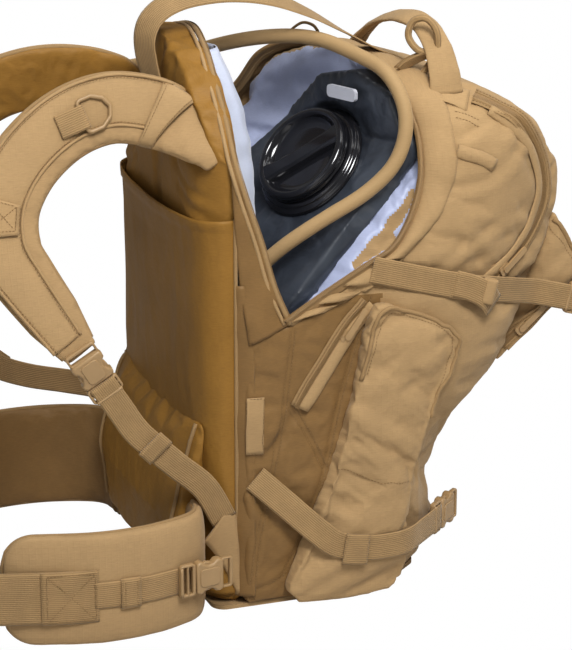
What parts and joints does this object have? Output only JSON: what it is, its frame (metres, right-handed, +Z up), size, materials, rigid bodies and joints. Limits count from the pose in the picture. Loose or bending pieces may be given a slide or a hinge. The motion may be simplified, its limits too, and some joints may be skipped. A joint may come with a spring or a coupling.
{
  "type": "hunting backpack",
  "caption": "Internal-frame hunting backpack with open hydration compartment, reservoir and tube, padded harness, hip belt, pouches, compression straps and buckles.",
  "frame": {"origin": "centre of the pack's flat base, on the underside of the base panel", "axes": "+Z up, -Y towards the wearer's back, +Y towards the front pocket, +X to the wearer's left"},
  "size_m": [0.4098, 0.6707, 0.5608],
  "materials": {
    "pack_cloth": "coyote nylon ripstop, matt",
    "harness_cloth": "coyote nylon, slight satin, foam filled",
    "webbing": "ribbed nylon webbing",
    "liner_cloth": "blue-grey coated lining, satin",
    "buckle_plastic": "moulded acetal, coyote",
    "zip_coil": "nylon coil zipper",
    "bladder_film": "dark translucent film",
    "cap_plastic": "black gloss",
    "clip_plastic": "light grey",
    "tube_sleeve": "woven tube cover, coyote",
    "valve_rubber": "soft silicone",
    "lever_plastic": "black",
    "sheet_plastic": "HDPE sheet",
    "stay_metal": "satin"
  },
  "bodies": {
    "pack": {"main_compartment": "pack_cloth", "front_pocket": "pack_cloth", "side_pouch_left": "pack_cloth", "side_pouch_right": "pack_cloth", "base_panel": "pack_cloth", "panel_sleeve": "pack_cloth", "shoulder_strap_left": "harness_cloth", "shoulder_strap_right": "harness_cloth", "lumbar_pad": "harness_cloth", "back_panel": "harness_cloth", "anchor_tabs": "harness_cloth", "adjuster_web_left": "webbing", "adjuster_web_right": "webbing", "upper_straps": "webbing", "lower_straps": "webbing", "loose_strap": "webbing", "carry_handle": "webbing", "haul_handle": "webbing", "ring_loops": "webbing", "mouth_liner": "liner_cloth", "panel_liner": "liner_cloth", "buckle_sockets": "buckle_plastic", "loose_plug": "buckle_plastic", "zipper_chains": "zip_coil", "reservoir_bladder": "bladder_film", "fill_ring": "cap_plastic", "exit_port": "cap_plastic", "hanger_clip": "clip_plastic", "drink_tube": "tube_sleeve", "bite_valve": "valve_rubber", "frame_sheet": "sheet_plastic", "frame_stays": "stay_metal"},
    "cap": {"reservoir_cap": "cap_plastic"},
    "d_ring_left": {"d_ring_left": "buckle_plastic"},
    "d_ring_right": {"d_ring_right": "buckle_plastic"},
    "lever": {"valve_lever": "lever_plastic"},
    "main_slider": {"main_slider": "zip_coil"},
    "pocket_slider": {"pocket_slider": "zip_coil"},
    "side_slider": {"side_slider": "zip_coil"},
    "upper_plug_left": {"upper_plug_left": "buckle_plastic"},
    "lower_plug_left": {"lower_plug_left": "buckle_plastic"},
    "upper_plug_right": {"upper_plug_right": "buckle_plastic"},
    "lower_plug_right": {"lower_plug_right": "buckle_plastic"},
    "shoulder_plug_left": {"shoulder_plug_left": "buckle_plastic"},
    "shoulder_plug_right": {"shoulder_plug_right": "buckle_plastic"},
    "wing_left": {"hip_wing_left": "harness_cloth", "belt_web_left": "webbing", "stabiliser_web_left": "webbing", "stabiliser_socket_left": "buckle_plastic", "waist_socket": "buckle_plastic"},
    "wing_right": {"hip_wing_right": "harness_cloth", "belt_web_right": "webbing", "stabiliser_web_right": "webbing", "stabiliser_socket_right": "buckle_plastic", "waist_plug": "buckle_plastic"},
    "stabiliser_plug_left": {"stabiliser_plug_left": "buckle_plastic"},
    "stabiliser_plug_right": {"stabiliser_plug_right": "buckle_plastic"}
  },
  "joints": [
    {"name": "cap_turn", "type": "hinge", "parent": "pack", "child": "cap", "pos_m": [0.03436, 0.0117, 0.40051], "axis": [0.2806, -0.7316, 0.6213], "range_deg": [0, 90]},
    {"name": "d_ring_left_swing", "type": "hinge", "parent": "pack", "child": "d_ring_left", "pos_m": [0.10229, -0.23217, 0.47568], "axis": [0.2719, 0.3236, -0.9063], "range_deg": [0, 120]},
    {"name": "d_ring_right_swing", "type": "hinge", "parent": "pack", "child": "d_ring_right", "pos_m": [-0.10205, -0.23769, 0.47612], "axis": [0.2312, -0.1359, 0.9634], "range_deg": [0, 120]},
    {"name": "valve_lever_turn", "type": "hinge", "parent": "pack", "child": "lever", "pos_m": [-0.16896, -0.35061, 0.36615], "axis": [0, -0.908, 0.4191], "range_deg": [0, 90]},
    {"name": "main_slider_run", "type": "slide", "parent": "pack", "child": "main_slider", "axis": [-0.3064, 0.7837, 0.5404], "range_m": [0, 0.018]},
    {"name": "pocket_slider_run", "type": "slide", "parent": "pack", "child": "pocket_slider", "axis": [0, 0.7478, 0.6639], "range_m": [0, 0.03]},
    {"name": "side_slider_run", "type": "slide", "parent": "pack", "child": "side_slider", "axis": [0, -0.5779, -0.8161], "range_m": [0, 0.06]},
    {"name": "upper_plug_left_release", "type": "slide", "parent": "pack", "child": "upper_plug_left", "axis": [0, -0.9659, 0.259], "range_m": [0, 0.024]},
    {"name": "lower_plug_left_release", "type": "slide", "parent": "pack", "child": "lower_plug_left", "axis": [0.667, -0.745, 0], "range_m": [0, 0.024]},
    {"name": "upper_plug_right_release", "type": "slide", "parent": "pack", "child": "upper_plug_right", "axis": [0, -0.9659, 0.259], "range_m": [0, 0.024]},
    {"name": "lower_plug_right_release", "type": "slide", "parent": "pack", "child": "lower_plug_right", "axis": [-0.667, -0.745, 0], "range_m": [0, 0.024]},
    {"name": "shoulder_plug_left_release", "type": "slide", "parent": "pack", "child": "shoulder_plug_left", "axis": [-0.089, 0.5278, -0.8447], "range_m": [0, 0.024]},
    {"name": "shoulder_plug_right_release", "type": "slide", "parent": "pack", "child": "shoulder_plug_right", "axis": [-0.06, 0.3, -0.952], "range_m": [0, 0.024]},
    {"name": "hip_wing_left_swing", "type": "hinge", "parent": "pack", "child": "wing_left", "pos_m": [0.121, -0.143, 0.057], "axis": [0, 0, 1], "range_deg": [-12, 1]},
    {"name": "hip_wing_right_swing", "type": "hinge", "parent": "pack", "child": "wing_right", "pos_m": [-0.121, -0.143, 0.057], "axis": [0, 0, 1], "range_deg": [-1, 12]},
    {"name": "stabiliser_plug_left_release", "type": "slide", "parent": "wing_left", "child": "stabiliser_plug_left", "axis": [0.1849, -0.9827, 0], "range_m": [0, 0.024]},
    {"name": "stabiliser_plug_right_release", "type": "slide", "parent": "wing_right", "child": "stabiliser_plug_right", "axis": [-0.1849, -0.9827, 0], "range_m": [0, 0.024]}
  ]
}
